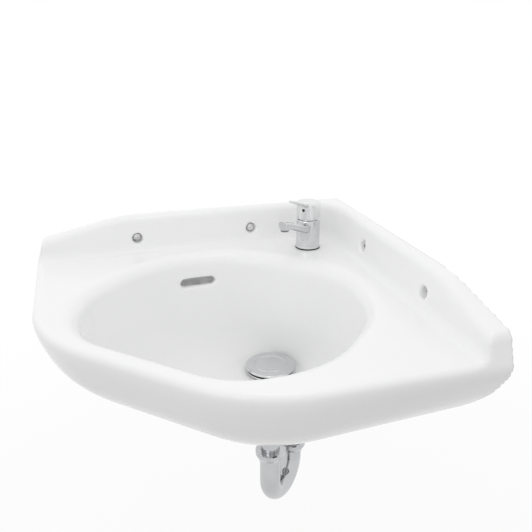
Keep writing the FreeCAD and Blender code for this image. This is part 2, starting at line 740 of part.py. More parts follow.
stem_profile = [
    ("0", "0"),
    ("Sizes.stem_radius + 2", "0"),
    ("Sizes.stem_radius + 2", "2"),
    ("Sizes.stem_radius", "2"),
    ("Sizes.stem_radius", "Sizes.stem_length - 4"),
    ("9", "Sizes.stem_length - 3"),
    ("9", "Sizes.stem_length"),
    ("0", "Sizes.stem_length"),
]
keep("plug_stem", turned("plug_stem", WX, WX, STEM_AT, stem_profile))

# The spring under the cap, as the sleeve that its coils fill.
SPRING_FOOT = f"{FLOOR_AT} - 29.6"
spring_height = f"29.6 + Sizes.gasket_thick + Sizes.flange_thick + Sizes.plug_gap - 4.6"
keep("plug_spring", turned("plug_spring", WX, WX, SPRING_FOOT, tube_profile(
    "Sizes.stem_radius + 3", "Sizes.stem_radius + 1.8", spring_height)))


# ---------------------------------------------------------------- tailpiece and trap
TAIL_TOP = f"({SEAT_AT} - Sizes.waste_length - 2)"
tail_low = "(Sizes.inlet_level - 22)"
tail_height = f"{TAIL_TOP} - {tail_low}"
TAIL_IN = "Sizes.tail_radius - Sizes.tail_wall"
tail_profile = [
    (TAIL_IN, "0"),
    ("Sizes.tail_radius", "0"),
    ("Sizes.tail_radius", f"{tail_height} - 2"),
    ("Sizes.waste_pipe - 1", f"{tail_height} - 2"),
    ("Sizes.waste_pipe - 1", tail_height),
    (TAIL_IN, tail_height),
]
keep("tailpiece", turned("tailpiece", WX, WX, tail_low, tail_profile))
keep("tail_seal", turned("tail_seal", WX, WX, TAIL_TOP, tube_profile(
    "Sizes.waste_pipe - 0.5", TAIL_IN + " + 1", "2")))
tail_nut_profile = [
    ("Sizes.tail_radius + Sizes.slide_gap", "0"),
    ("Sizes.waste_pipe - 1", "0"),
    ("Sizes.waste_pipe + 4", "5"),
    ("Sizes.waste_pipe + 4", "18"),
    ("Sizes.waste_pipe + Sizes.fit_gap", "18"),
    ("Sizes.waste_pipe + Sizes.fit_gap", "4"),
    ("Sizes.tail_radius + Sizes.slide_gap", "4"),
]
keep("tail_nut", turned("tail_nut", WX, WX, f"{TAIL_TOP} - 6.1", tail_nut_profile))

TRAP_OUT = "(Sizes.waste_place - Sizes.trap_pitch / sqrt(2))"
OX = f"-{TRAP_OUT}"
half_pitch = size("trap_pitch") / 2
in_place = at(WASTE, WASTE, 0)
out_shift = half_pitch * ROOT_TWO
out_place = at(WASTE - out_shift, WASTE - out_shift, 0)
bend_centre = (in_place + out_place) * 0.5 + Vector(0, 0, size("trap_axis"))


def swept(radius, edges, start, along):
    """A round bar that follows a smooth path."""
    section = Part.Wire(Part.makeCircle(radius, start, along))
    return Part.Wire(edges).makePipeShell([section], True, True)


def trap_way(radius, extra):
    """The trap's inside or outside: two legs and a half-round bend."""
    low = size("trap_axis")
    inlet = size("inlet_level") - size("cup_length") + extra
    outlet = size("outlet_level") - size("cup_length") + extra
    start = in_place + Vector(0, 0, inlet)
    turn_in = in_place + Vector(0, 0, low)
    turn_out = out_place + Vector(0, 0, low)
    lowest = bend_centre - Vector(0, 0, half_pitch)
    path = [
        Part.LineSegment(start, turn_in).toShape(),
        Part.Arc(turn_in, lowest, turn_out).toShape(),
        Part.LineSegment(turn_out, out_place + Vector(0, 0, outlet)).toShape(),
    ]
    return swept(radius, path, start, Vector(0, 0, -1))


def cup(centre, top, radius, length):
    """The wider mouth of a leg."""
    return Part.makeCylinder(radius, length, centre + Vector(0, 0, top - length), Vector(0, 0, 1))


cup_len = size("cup_length")
bore_radius = size("tail_radius") + size("slide_gap")
cup_radius = size("tail_radius") + size("cup_wall")
trap_radius = size("tail_radius") + size("trap_gain")
trap_outside = trap_way(trap_radius, 0.0).fuse([
    cup(in_place, size("inlet_level"), cup_radius, cup_len + 2.0),
    cup(out_place, size("outlet_level"), cup_radius, cup_len + 2.0),
])
trap_inside = trap_way(trap_radius - size("trap_wall"), 1.0).fuse([
    cup(in_place, size("inlet_level") + 1.0, bore_radius, cup_len + 2.0),
    cup(out_place, size("outlet_level") + 1.0, bore_radius, cup_len + 2.0),
])
keep("trap_bend", fixed("trap_bend_pipe", trap_outside.cut(trap_inside).removeSplitter()))


def slip_nut(label, x, z):
    """A slip nut over a trap mouth; z is the mouth's top."""
    base = f"{z} - Sizes.cup_length + 2"
    top = "(Sizes.cup_length + 0.4)"
    profile = [
        ("Sizes.tail_radius + Sizes.cup_wall + Sizes.fit_gap", "0"),
        ("Sizes.tail_radius + Sizes.cup_wall + 1.2", "0"),
        ("Sizes.tail_radius + Sizes.nut_wall", "5.5"),
        ("Sizes.tail_radius + Sizes.nut_wall", top + " - 0.8"),
        ("Sizes.tail_radius + Sizes.nut_wall - 1.5", top + " + 0.8"),
        ("Sizes.tail_radius + Sizes.slide_gap", top + " + 0.8"),
        ("Sizes.tail_radius + Sizes.slide_gap", top),
        ("Sizes.tail_radius + Sizes.cup_wall + Sizes.fit_gap", top),
    ]
    blank = turned(label, x, x, base, profile)
    notches = []
    for number in range(8):
        notch = doc.addObject("Part::Cylinder", f"{label}_notch_{number}")
        notch.setExpression("Radius", "1.6")
        notch.setExpression("Height", "Sizes.cup_length + 10")
        bearing = math.radians(45.0 * number + 22.5)
        reach = f"(Sizes.tail_radius + Sizes.nut_wall + 0.7)"
        place(notch, f"{x} + {math.cos(bearing):.6f} * {reach}",
              f"{x} + {math.sin(bearing):.6f} * {reach}", f"{base} - 2")
        notches.append(notch)
    return keep(label, cut(label + "_notched", blank, fuse(label + "_notches", notches)))


def slip_seal(label, x, z):
    """The rubber ring that a slip nut presses on the mouth."""
    return keep(label, turned(label, x, x, f"{z} + Sizes.fit_gap", tube_profile(
        "Sizes.tail_radius + Sizes.cup_wall - 0.2", "Sizes.tail_radius + Sizes.fit_gap / 2", "2.2")))


slip_nut("trap_nut_inlet", WX, "Sizes.inlet_level")
slip_seal("trap_seal_inlet", WX, "Sizes.inlet_level")
slip_nut("trap_nut_outlet", OX, "Sizes.outlet_level")
slip_seal("trap_seal_outlet", OX, "Sizes.outlet_level")


def arm_way(radius, extra):
    """The outlet arm: a short riser, a quarter bend and a level pipe through the back wall."""
    turn = size("arm_round")
    start = out_place + Vector(0, 0, size("outlet_level") - 9.0 - extra)
    level = out_place + Vector(0, 0, size("arm_level"))
    bend_start = level - Vector(0, 0, turn)
    bend_end = level + Vector(0, turn, 0)
    short = turn * (1 - 1 / ROOT_TWO)
    path = [
        Part.LineSegment(start, bend_start).toShape(),
        Part.Arc(bend_start, level + Vector(0, short, -short), bend_end).toShape(),
        Part.LineSegment(bend_end, Vector(level.x, size("arm_beyond") + extra, level.z)).toShape(),
    ]
    return swept(radius, path, start, Vector(0, 0, 1))


arm_inside = arm_way(size("tail_radius") - size("tail_wall"), 2.0)
end_place = Vector(out_place.x, size("arm_lead"), size("arm_level"))
end_length = size("arm_beyond")
end_radius = size("tail_radius") - size("arm_step")
end_room = Part.makeCylinder(end_radius + 2.0, end_length, end_place, Vector(0, 1, 0))
end_pipe = Part.makeCylinder(end_radius, end_length, end_place, Vector(0, 1, 0))
arm_outside = arm_way(size("tail_radius"), 0.0).cut(end_room.cut(end_pipe))
keep("outlet_arm", fixed("outlet_arm_pipe", arm_outside.cut(arm_inside).removeSplitter()))

rose_profile = [
    ("Sizes.tail_radius + Sizes.fit_gap", "0"),
    ("Sizes.rose_radius", "0"),
    ("Sizes.rose_radius", "1"),
    ("Sizes.rose_radius - 5", "Sizes.rose_height - 1.5"),
    ("Sizes.tail_radius + 4", "Sizes.rose_height"),
    ("Sizes.tail_radius + Sizes.fit_gap", "Sizes.rose_height"),
]
keep("wall_rose", turned("wall_rose", OX, "0", "Sizes.arm_level", rose_profile, AGAINST_Y))


# ---------------------------------------------------------------- tap
TX = "-Sizes.tap_place"
TAP = at(size("tap_place"), size("tap_place"), 0)
TOWARDS_BOWL = Vector(-1, -1, 0).normalize()
ACROSS = Vector(1, -1, 0).normalize()
FACING_BOWL = FreeCAD.Rotation(Vector(1, 0, 0), TOWARDS_BOWL)


def tap_at(reach, across, z):
    """A point in front of the tap, to its right as seen from the bowl, at height z."""
    return TAP + TOWARDS_BOWL * reach + ACROSS * across + Vector(0, 0, z)


def tap_section(reach, width, low, high, radius):
    """An upright rounded rectangle across the tap's front line."""
    half = width / 2
    corners = [(-half, low), (half, low), (half, high), (-half, high)]
    return rounded_wire([(tap_at(reach, across, z), radius) for across, z in corners])


TAP_BASE = "(Sizes.deck_level + Sizes.tap_seat)"
keep("tap_base_ring", turned("tap_base_ring", TX, TX, "Sizes.deck_level", tube_profile(
    "Sizes.tap_radius + 0.5", "Sizes.shank_radius + Sizes.fit_gap", "Sizes.tap_seat")))

tap_height = f"Sizes.tap_top - {TAP_BASE}"
SHANK_LOW = f"({TAP_BASE} - Sizes.shank_length)"
body_profile = [
    ("0", "0"),
    ("Sizes.shank_radius", "0"),
    ("Sizes.shank_radius", "Sizes.shank_length"),
    ("Sizes.tap_radius + 0.4", "Sizes.shank_length"),
    ("Sizes.tap_radius + 0.4", "Sizes.shank_length + 1.5"),
    ("Sizes.tap_radius", "Sizes.shank_length + 3"),
    ("Sizes.tap_radius", f"Sizes.tap_top - {SHANK_LOW} - 0.8"),
    ("Sizes.tap_radius - 0.8", f"Sizes.tap_top - {SHANK_LOW}"),
    ("0", f"Sizes.tap_top - {SHANK_LOW}"),
]
tap_blank = turned("tap_body_blank", TX, TX, SHANK_LOW, body_profile)

reach = size("spout_reach")
spout_root = size("tap_top") - 3.0
spout_sections = [
    tap_section(4.0, 21.0, spout_root - 18.0, spout_root, 6.0),
    tap_section(22.0, 19.0, spout_root - 12.5, spout_root + 1.5, 5.5),
    tap_section(52.0, 15.0, spout_root - 0.5, spout_root + 10.5, 4.5),
    tap_section(reach, 12.4, spout_root + 9.5, spout_root + 19.5, 4.0),
]
spout = Part.makeLoft(spout_sections, True, False)
spout_way = bar(tap_at(8.0, 0, spout_root - 9.0), tap_at(reach - 8.0, 0, spout_root + 12.0), 3.2)
nozzle_low = spout_root + 8.0
nozzle_bore = Part.makeCylinder(4.4, 9.0, tap_at(reach - 6.5, 0, nozzle_low - 3.0), Vector(0, 0, 1))
nozzle_boss = Part.makeCylinder(6.0, 8.0, tap_at(reach - 6.5, 0, nozzle_low - 1.5), Vector(0, 0, 1))
spout_shape = spout.fuse(nozzle_boss)
spout_item = fixed("spout_blank", spout_shape)
spout_bores = fixed("spout_bores", spout_way.fuse(nozzle_bore))
tap_tools = [
    rod("tap_cartridge_bore", "Sizes.tap_bore", "Sizes.tap_bore_depth + 10", TX, TX,
        "Sizes.tap_top - Sizes.tap_bore_depth"),
]
PORTS = {"cold": 1, "hot": -1}
PORT_X = {}
PORT_Y = {}
for water, side in PORTS.items():
    PORT_X[water] = f"{TX} + ({side} * Sizes.port_offset - Sizes.port_forward) / sqrt(2)"
    PORT_Y[water] = f"{TX} - ({side} * Sizes.port_offset + Sizes.port_forward) / sqrt(2)"
    tap_tools.append(rod(f"port_{water}", "Sizes.port_radius", "Sizes.port_depth + 2",
                         PORT_X[water], PORT_Y[water], f"{SHANK_LOW} - 2"))
    tap_tools.append(rod(f"way_{water}", "2.2", "40", PORT_X[water], PORT_Y[water],
                         f"{SHANK_LOW} + 2"))
STUD_SHIFT = "Sizes.stud_offset / sqrt(2)"
tap_tools.append(rod("stud_bore", "Sizes.stud_radius", "9", f"{TX} + {STUD_SHIFT}",
                     f"{TX} + {STUD_SHIFT}", f"{SHANK_LOW} - 1"))
tap_fused = fuse("tap_body_fused", [tap_blank, spout_item])
tap_bored = cut("tap_body_bored", tap_fused, fuse("tap_bores", tap_tools))
keep("tap_body", cut("tap_body_piped", tap_bored, spout_bores))

nozzle_centre = tap_at(reach - 6.5, 0, 0)
aerator = Part.makeCylinder(4.3, 5.0, nozzle_centre + Vector(0, 0, nozzle_low - 3.2), Vector(0, 0, 1))
aerator = aerator.fuse(Part.makeCylinder(5.4, 1.6, nozzle_centre + Vector(0, 0, nozzle_low - 3.4), Vector(0, 0, 1)))
hole_ring = [
    Part.makeCylinder(0.7, 12.0, nozzle_centre + Vector(2.6 * math.cos(a), 2.6 * math.sin(a), nozzle_low - 6),
                      Vector(0, 0, 1))
    for a in [2 * math.pi * number / 6 for number in range(6)]
]
hole_ring.append(Part.makeCylinder(0.8, 12.0, nozzle_centre + Vector(0, 0, nozzle_low - 6), Vector(0, 0, 1)))
keep("aerator", fixed("aerator_insert", aerator.cut(hole_ring)))

# Cartridge: fixed housing, turning carrier, tilting spindle on a pin.
CART_LOW = "(Sizes.tap_top - Sizes.tap_bore_depth)"
cartridge_profile = [
    ("0", "0"),
    ("Sizes.tap_bore - Sizes.fit_gap", "0"),
    ("Sizes.tap_bore - Sizes.fit_gap", "20"),
    ("10.2", "20"),
    ("10.2", "28"),
    ("7.2 + Sizes.pin_gap", "28"),
    ("7.2 + Sizes.pin_gap", "17"),
    ("0", "17"),
]
cartridge_blank = turned("cartridge_blank", TX, TX, CART_LOW, cartridge_profile)
cartridge_ways = []
for water in PORTS:
    cartridge_ways.append(rod(f"cartridge_way_{water}", "2.2", "12", PORT_X[water], PORT_Y[water],
                              f"{CART_LOW} - 1"))
keep("tap_cartridge", cut("tap_cartridge_bored", cartridge_blank, fuse("cartridge_ways", cartridge_ways)))

nut_profile = [
    ("10.2 + Sizes.fit_gap", "0"),
    ("Sizes.tap_bore - Sizes.fit_gap", "0"),
    ("Sizes.tap_bore - Sizes.fit_gap", "9.9"),
    ("13.6", "9.9"),
    ("13.6", "11"),
    ("12.4", "13.4"),
    ("10.4", "15"),
    ("10.2 + Sizes.fit_gap", "15"),
]
keep("cartridge_nut", turned("cartridge_nut", TX, TX, f"{CART_LOW} + 20.1", nut_profile))

CARRIER_LOW = f"({CART_LOW} + 17.1)"
carrier_blank = rod("carrier_blank", "7.2", "12", TX, TX, CARRIER_LOW)
pivot_level = size("tap_top") - size("tap_bore_depth") + 17.1 + 7.0


def tap_block(reach_low, reach_high, half_width, low, high):
    """A box in line with the tap's front."""
    base = [
        tap_at(reach_low, -half_width, low),
        tap_at(reach_high, -half_width, low),
        tap_at(reach_high, half_width, low),
        tap_at(reach_low, half_width, low),
    ]
    face = Part.Face(Part.makePolygon(base + base[:1]))
    return face.extrude(Vector(0, 0, high - low))


carrier_top = size("tap_top") - size("tap_bore_depth") + 29.1
carrier_tools = fixed("carrier_tools", tap_block(-5.4, 5.4, 2.5, pivot_level - 5.6, carrier_top + 1).fuse(
    Part.makeCylinder(1.25, 16.0, tap_at(0, -8.0, pivot_level), ACROSS)))
keep("spindle_carrier", cut("spindle_carrier_cut", carrier_blank, carrier_tools))
keep("spindle_pin", fixed("spindle_pin_rod", Part.makeCylinder(1.25, 13.6, tap_at(0, -6.8, pivot_level), ACROSS)))

# Lever head: a hollow cap with a handle that rises towards the bowl.
HEAD_AT = "(Sizes.tap_top + Sizes.head_gap)"
HEAD_TOP = size("tap_top") + size("head_gap") + size("head_height")
spindle_top = HEAD_TOP - 7.0
spindle = tap_block(-2.2, 2.2, 2.4, pivot_level - 4.4, spindle_top)
spindle = spindle.cut(Part.makeCylinder(1.25 + size("pin_gap"), 16.0, tap_at(0, -8.0, pivot_level), ACROSS))
keep("lever_spindle", fixed("lever_spindle_bar", spindle))

head_profile = [
    ("15.2", "0"),
    ("Sizes.tap_radius - 0.5", "0"),
    ("Sizes.tap_radius", "0.5"),
    ("Sizes.tap_radius", "Sizes.head_height - 1.8"),
    ("Sizes.tap_radius - 0.6", "Sizes.head_height - 0.6"),
    ("Sizes.tap_radius - 2", "Sizes.head_height"),
    ("0", "Sizes.head_height"),
    ("0", "Sizes.head_height - 12"),
    ("15.2", "Sizes.head_height - 12"),
]
head_blank = turned("lever_head_blank", TX, TX, HEAD_AT, head_profile)
lever_reach = size("lever_reach")
lever_thick = size("lever_thick")
lever_half = size("lever_width") / 2


def lever_section(reach_now, width, top, thick, radius):
    """A section across the handle."""
    return tap_section(reach_now, width, top - thick, top, radius)


handle = Part.makeLoft([
    lever_section(-4.0, size("lever_width"), HEAD_TOP - 0.2, 9.0, 1.6),
    lever_section(14.0, size("lever_width"), HEAD_TOP + 1.2, 6.5, 1.6),
    lever_section(30.0, size("lever_width"), HEAD_TOP + 5.6, lever_thick + 0.8, 1.5),
    lever_section(lever_reach, size("lever_width") - 1.0, HEAD_TOP + 12.0, lever_thick, 1.4),
], True, False)
handle_item = fixed("lever_handle", handle)
screw_level_head = HEAD_TOP - 9.6
lift = math.radians(size("lever_lift"))
# Under the head's rear, a wedge that lets the head tip back on the body.
wedge_low = size("tap_top") + 0.3 - pivot_level
wedge_rear = -size("tap_radius") - 3.0
wedge_front = 30.0


def wedge_level(along):
    """Height of the head's slanted underside at a distance in front of the tap's axis."""
    return pivot_level + (wedge_low - along * math.sin(lift)) / math.cos(lift)


wedge_points = [
    tap_at(wedge_rear, -20.0, wedge_level(wedge_rear)),
    tap_at(wedge_front, -20.0, wedge_level(wedge_front)),
    tap_at(wedge_rear, -20.0, wedge_level(wedge_front)),
]
wedge = Part.Face(Part.makePolygon(wedge_points + wedge_points[:1])).extrude(ACROSS * 40.0)
lever_tools = fixed("lever_tools", wedge.fuse([tap_block(-2.25, 2.25, 2.45, HEAD_TOP - 13.0, spindle_top + 0.1),
    Part.makeCylinder(2.0, 16.0, tap_at(2.3, 0, screw_level_head), TOWARDS_BOWL)]))
keep("lever_head", cut("lever_head_cut", fuse("lever_head_fused", [head_blank, handle_item]), lever_tools))

set_screw = Part.makeCylinder(1.95, 7.0, tap_at(2.3, 0, screw_level_head), TOWARDS_BOWL)
hex_key = [tap_at(9.4, 1.1 * math.cos(a), screw_level_head + 1.1 * math.sin(a))
           for a in [math.pi / 3 * number for number in range(6)]]
key_hole = Part.Face(Part.makePolygon(hex_key + hex_key[:1])).extrude(TOWARDS_BOWL * -2.5)
keep("lever_screw", fixed("lever_screw_rod", set_screw.cut(key_hole)))
keep("lever_screw_plug", fixed("lever_screw_plug_disc", Part.makeCylinder(
    1.95, 3.2, tap_at(size("tap_radius") - 3.1, 0, screw_level_head), TOWARDS_BOWL)))

# Clamping of the tap under the deck.
UNDER_DECK = "(Sizes.deck_level - Sizes.deck_thick)"
SX = f"{TX} + {STUD_SHIFT}"
keep("tap_stud", rod("tap_stud_rod", "Sizes.stud_radius - Sizes.fit_gap / 2", "Sizes.stud_length", SX, SX,
                     f"{SHANK_LOW} + 7.8 - Sizes.stud_length"))
under_deck = DECK - size("deck_thick")


def horseshoe(top, thick, radius):
    """A washer that is open towards the bowl, where the inlets pass."""
    disc = Part.makeCylinder(radius, thick, TAP + Vector(0, 0, top - thick), Vector(0, 0, 1))
    gap = tap_block(-3.0, radius + 5.0, 11.0, top - thick - 1.0, top + 1.0)
    stud = Part.makeCylinder(size("stud_radius") + 0.1, thick + 2.0,
                             tap_at(-size("stud_offset"), 0, top - thick - 1.0), Vector(0, 0, 1))
    return disc.cut([gap, stud])


keep("clamp_gasket", fixed("clamp_gasket_plate", horseshoe(under_deck, 3.0, size("clamp_radius"))))
keep("clamp_plate", fixed("clamp_plate_steel", horseshoe(under_deck - 3.0, 2.0, size("clamp_radius") - 0.5)))
keep("clamp_nut", six_sided("clamp_nut", "5", "Sizes.stud_radius + Sizes.fit_gap / 2", "12", SX, SX,
                            f"{UNDER_DECK} - 5 - 12"))

# ---------------------------------------------------------------- checks and files
doc.recompute()
for item in doc.Objects:
    troubles = [word for word in item.State if word in ("Invalid", "Error")]
    if troubles:
        raise RuntimeError(f"{item.Name} is in state {troubles}")
for label, item in parts.items():
    shape = item.Shape
    if shape.isNull() or not shape.isValid():
        raise RuntimeError(f"{label} has no valid shape")

os.makedirs("parts", exist_ok=True)
for label, item in parts.items():
    item.Shape.exportStep(os.path.join("parts", label + ".step"))
    box = item.Shape.BoundBox
    print(f"{label:18s} {len(item.Shape.Solids)} solids {item.Shape.Volume / 1000:9.2f} cm3 "
          f"z {box.ZMin:8.2f} to {box.ZMax:8.2f}")
print(len(parts), "sub-parts")
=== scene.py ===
"""Looks of a white glazed corner basin with its tap, click plug and chrome trap."""
import logging
import math
from dataclasses import dataclass
from enum import Enum

import bmesh
import bpy
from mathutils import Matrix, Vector


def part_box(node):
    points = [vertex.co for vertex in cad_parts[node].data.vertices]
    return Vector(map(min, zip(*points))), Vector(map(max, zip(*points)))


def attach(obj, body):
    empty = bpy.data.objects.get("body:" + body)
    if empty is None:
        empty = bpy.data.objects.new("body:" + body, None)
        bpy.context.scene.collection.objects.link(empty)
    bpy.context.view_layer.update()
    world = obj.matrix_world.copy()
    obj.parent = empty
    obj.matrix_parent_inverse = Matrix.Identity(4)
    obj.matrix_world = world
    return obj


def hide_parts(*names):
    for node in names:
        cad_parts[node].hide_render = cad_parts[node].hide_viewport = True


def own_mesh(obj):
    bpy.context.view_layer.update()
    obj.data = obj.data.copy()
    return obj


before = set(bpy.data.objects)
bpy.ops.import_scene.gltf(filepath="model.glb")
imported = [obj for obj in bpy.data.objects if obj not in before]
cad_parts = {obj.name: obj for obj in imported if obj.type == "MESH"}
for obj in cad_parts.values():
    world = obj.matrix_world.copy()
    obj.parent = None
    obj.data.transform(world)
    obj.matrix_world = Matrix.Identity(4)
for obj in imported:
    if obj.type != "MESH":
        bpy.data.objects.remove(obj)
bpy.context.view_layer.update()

log = logging.getLogger("corner_basin")

Colour = tuple[float, float, float]
Point = tuple[float, float, float]
Span = tuple[float, float]
Given = bpy.types.NodeSocket | Colour | float


# ---------------------------------------------------------------- node trees
class Socket(Enum):
    """Kinds of socket on a node group."""

    VECTOR = "NodeSocketVector"
    COLOUR = "NodeSocketColor"
    VALUE = "NodeSocketFloat"


class Blend(Enum):
    """What a mix node mixes, as its data type and the type of its sockets."""

    COLOUR = ("RGBA", "RGBA")
    VALUE = ("FLOAT", "VALUE")


class Wiring:
    """Adds nodes to a node tree and joins them."""

    def __init__(self, tree: bpy.types.NodeTree) -> None:
        """Take the tree that is wired."""
        self.tree = tree

    def add(self, kind: str, **settings: object) -> bpy.types.Node:
        """Add a node.

        Args:
            kind: The node's type, without the ShaderNode in front.
            settings: The node's own settings, by name.

        Returns:
            The new node.
        """
        node = self.tree.nodes.new(f"ShaderNode{kind}")
        for name, value in settings.items():
            setattr(node, name, value)
        return node

    def join(self, given: Given, socket: bpy.types.NodeSocket) -> None:
        """Feed an input socket.

        Args:
            given: An output socket to link, or a colour or value to set.
            socket: The input socket.
        """
        if isinstance(given, bpy.types.NodeSocket):
            self.tree.links.new(given, socket)
        else:
            socket.default_value = (*given, 1.0) if isinstance(given, tuple) else given

    def maths(self, operation: str, first: Given, second: Given) -> bpy.types.NodeSocket:
        """Combine two values.

        Args:
            operation: How they are combined.
            first: The first value.
            second: The second value.

        Returns:
            The combined value.
        """
        node = self.add("Math", operation=operation)
        self.join(first, node.inputs[0])
        self.join(second, node.inputs[1])
        return node.outputs["Value"]

    def spread(self, value: bpy.types.NodeSocket, reads: Span = (0.0, 1.0),
               gives: tuple[Given, Given] = (0.0, 1.0)) -> bpy.types.NodeSocket:
        """Map a value from one span onto another, without leaving that one.

        Args:
            value: The value.
            reads: The span that it lies in.
            gives: The span that it is mapped onto.

        Returns:
            The mapped value.
        """
        node = self.add("MapRange")
        names = ("Value", "From Min", "From Max", "To Min", "To Max")
        for name, given in zip(names, (value, *reads, *gives)):
            self.join(given, node.inputs[name])
        return node.outputs["Result"]

    def mix(self, kind: Blend, mask: bpy.types.NodeSocket,
            below: Given, above: Given) -> bpy.types.NodeSocket:
        """Mix two colours or two values by a mask.

        Args:
            kind: Whether colours or values are mixed.
            mask: Socket with the mask, 0 to 1.
            below: What shows where the mask is 0.
            above: What shows where the mask is 1.

        Returns:
            The mixed colour or value.
        """
        data_type, socket_type = kind.value
        node = self.add("Mix", data_type=data_type)
        first, second = [socket for socket in node.inputs if socket.type == socket_type][-2:]
        self.join(mask, node.inputs["Factor"])
        self.join(below, first)
        self.join(above, second)
        return next(socket for socket in node.outputs if socket.type == socket_type)

    def mix_shaders(self, share: bpy.types.NodeSocket, below: bpy.types.NodeSocket,
                    above: bpy.types.NodeSocket) -> bpy.types.NodeSocket:
        """Mix two shaders.

        Args:
            share: Share of the upper one.
            below: The lower shader.
            above: The upper shader.

        Returns:
            The mixed shader.
        """
        node = self.add("MixShader")
        for socket, given in zip(node.inputs, (share, below, above)):
            self.join(given, socket)
        return node.outputs["Shader"]

    def noise(self, place: bpy.types.NodeSocket, scale: bpy.types.NodeSocket,
              detail: float) -> bpy.types.NodeSocket:
        """Add a noise texture.

        Args:
            place: Where it is read.
            scale: How fine it is.
            detail: How many finer layers it has.

        Returns:
            The noise, 0 to 1.
        """
        node = self.add("TexNoise")
        for name, given in (("Vector", place), ("Scale", scale), ("Detail", detail)):
            self.join(given, node.inputs[name])
        return node.outputs["Fac"]

    def split(self, vector: bpy.types.NodeSocket) -> tuple[bpy.types.NodeSocket, ...]:
        """Take a vector apart.

        Args:
            vector: The vector.

        Returns:
            Its X, Y and Z.
        """
        node = self.add("SeparateXYZ")
        self.join(vector, node.inputs["Vector"])
        return tuple(node.outputs)


# ---------------------------------------------------------------- shared effects
class Effect(Enum):
    """Shader node groups that several finishes share."""

    GRAIN = "fine grain"
    TONE = "tone drift"
    POLISH = "polish marks"
    TURNED = "turned lines"
    DUST = "settled dust"
    WALL_SIDE = "wall side"


class EffectTree(Wiring):
    """The node group of one effect, which reads a place and gives one output."""

    def __init__(self, effect: Effect, output: str, kind: Socket,
                 **inputs: Colour | float) -> None:
        """Start the group with its sockets.

        Args:
            effect: The effect that it holds.
            output: The name of its output.
            kind: The kind of its output.
            inputs: Starting values of the inputs that it has besides the place, by name.
        """
        super().__init__(bpy.data.node_groups.new(effect.value, "ShaderNodeTree"))
        sockets = self.tree.interface
        sockets.new_socket("Vector", in_out="INPUT", socket_type=Socket.VECTOR.value)
        for name, value in inputs.items():
            given = Socket.COLOUR if isinstance(value, tuple) else Socket.VALUE
            made = sockets.new_socket(name, in_out="INPUT", socket_type=given.value)
            self.join(value, made)
        sockets.new_socket(output, in_out="OUTPUT", socket_type=kind.value)
        self.source = self.tree.nodes.new("NodeGroupInput")
        self.target = self.tree.nodes.new("NodeGroupOutput")

    def read(self, name: str) -> bpy.types.NodeSocket:
        """The group's input of that name."""
        return self.source.outputs[name]

    def give(self, result: bpy.types.NodeSocket) -> None:
        """Send a result to the group's output."""
        self.join(result, self.target.inputs[0])

    def patches(self, detail: float) -> bpy.types.NodeSocket:
        """Noise of the group's Scale, read at its Vector."""
        return self.noise(self.read("Vector"), self.read("Scale"), detail)


